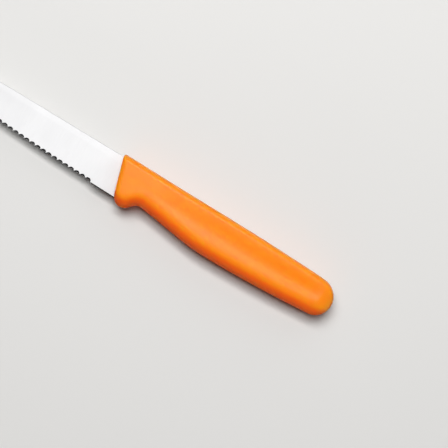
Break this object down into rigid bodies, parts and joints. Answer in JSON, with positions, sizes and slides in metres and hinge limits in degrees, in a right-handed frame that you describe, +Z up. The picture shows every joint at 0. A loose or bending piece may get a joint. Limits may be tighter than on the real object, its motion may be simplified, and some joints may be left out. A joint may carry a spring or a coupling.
{
  "type": "tomato knife",
  "caption": "Small kitchen knife with a round-tipped, wavy-edged steel blade moulded into a bright orange plastic handle, for slicing tomatoes and rolls.",
  "frame": {"origin": "on the surface the knife lies on, below the middle of its length and width", "axes": "+X from the tip to the butt of the handle, +Y from the cutting edge to the spine, +Z up out of the side that faces up as the knife lies flat"},
  "size_m": [0.22, 0.0212, 0.013],
  "materials": {
    "blade_steel": "stainless blade steel, finely ground faces, coarser ground waves",
    "handle_plastic": "orange polypropylene, satin with a very fine moulded grain"
  },
  "bodies": {
    "root": {"blade": "blade_steel", "handle": "handle_plastic"}
  },
  "joints": []
}
